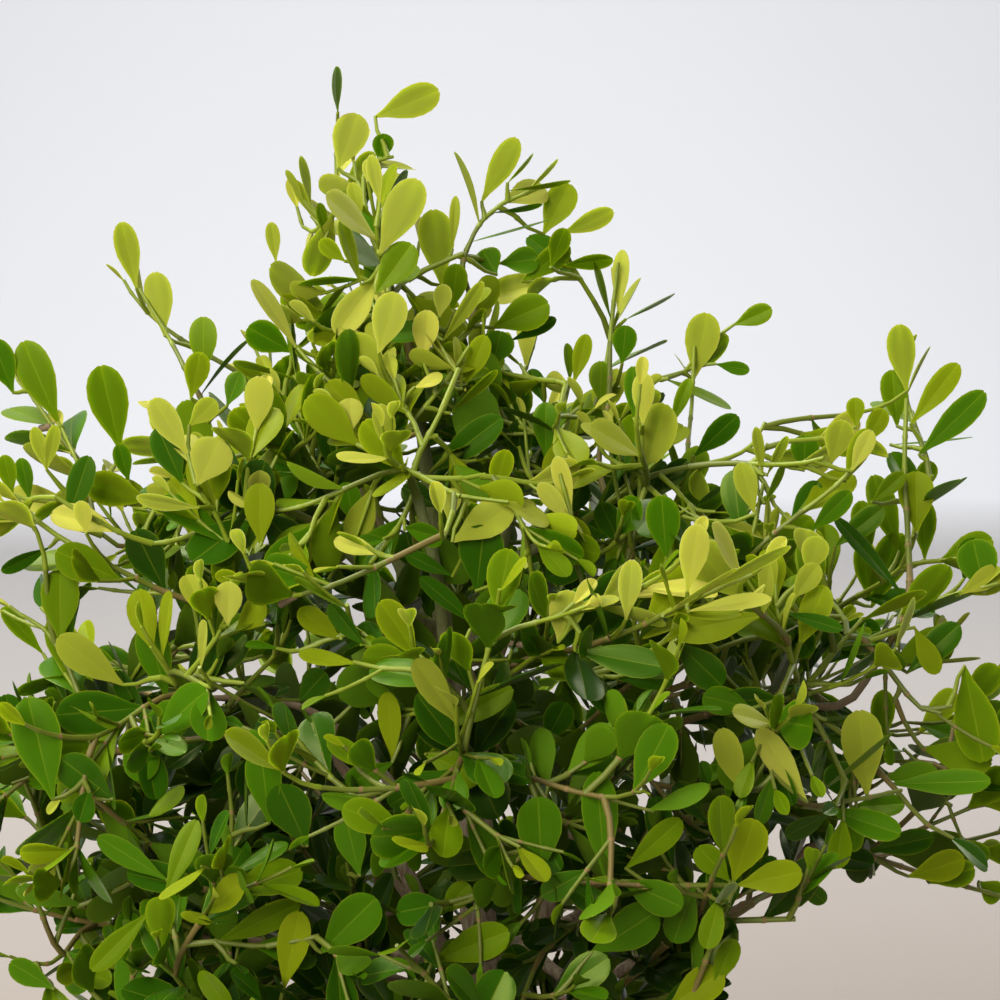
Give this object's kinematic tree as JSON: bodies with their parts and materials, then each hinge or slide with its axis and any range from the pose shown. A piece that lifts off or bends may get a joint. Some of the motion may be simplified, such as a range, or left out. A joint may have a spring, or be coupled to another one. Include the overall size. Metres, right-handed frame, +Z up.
{
  "type": "potted boxwood cone shrub",
  "caption": "Young boxwood grown as a loose cone in a plain clay pot: a short trunk that forks into stems and boughs, with masses of small rounded leaves, standing on the pot's flat underside.",
  "frame": {"origin": "centre of the pot's flat underside", "axes": "+Z up along the pot's axis, -Y towards the front of the plant, +X to its right"},
  "size_m": [0.3269, 0.3285, 0.4042],
  "materials": {
    "terracotta": "matte",
    "potting_soil": "matte",
    "bark": "matte",
    "foliage": "satin"
  },
  "bodies": {
    "root": {"bough_front": "bark", "bough_high_back_left": "bark", "bough_high_back_right": "bark", "bough_high_front": "bark", "bough_high_left": "bark", "bough_high_right": "bark", "bough_left_back": "bark", "bough_low_back": "bark", "bough_low_back_left": "bark", "bough_low_front_left": "bark", "bough_low_front_right": "bark", "bough_low_left": "bark", "bough_low_right": "bark", "bough_right_back": "bark", "foliage_lower_1": "foliage", "foliage_lower_2": "foliage", "foliage_lower_3": "foliage", "foliage_lower_4": "foliage", "foliage_lower_5": "foliage", "foliage_lower_6": "foliage", "foliage_middle_1": "foliage", "foliage_middle_2": "foliage", "foliage_middle_3": "foliage", "foliage_middle_4": "foliage", "foliage_middle_5": "foliage", "foliage_middle_6": "foliage", "foliage_top": "foliage", "foliage_upper_1": "foliage", "foliage_upper_2": "foliage", "foliage_upper_3": "foliage", "foliage_upper_4": "foliage", "foliage_upper_5": "foliage", "leader": "bark", "pot": "terracotta", "soil": "potting_soil", "stem_back": "bark", "stem_left": "bark", "stem_right": "bark", "trunk": "bark"}
  },
  "joints": []
}
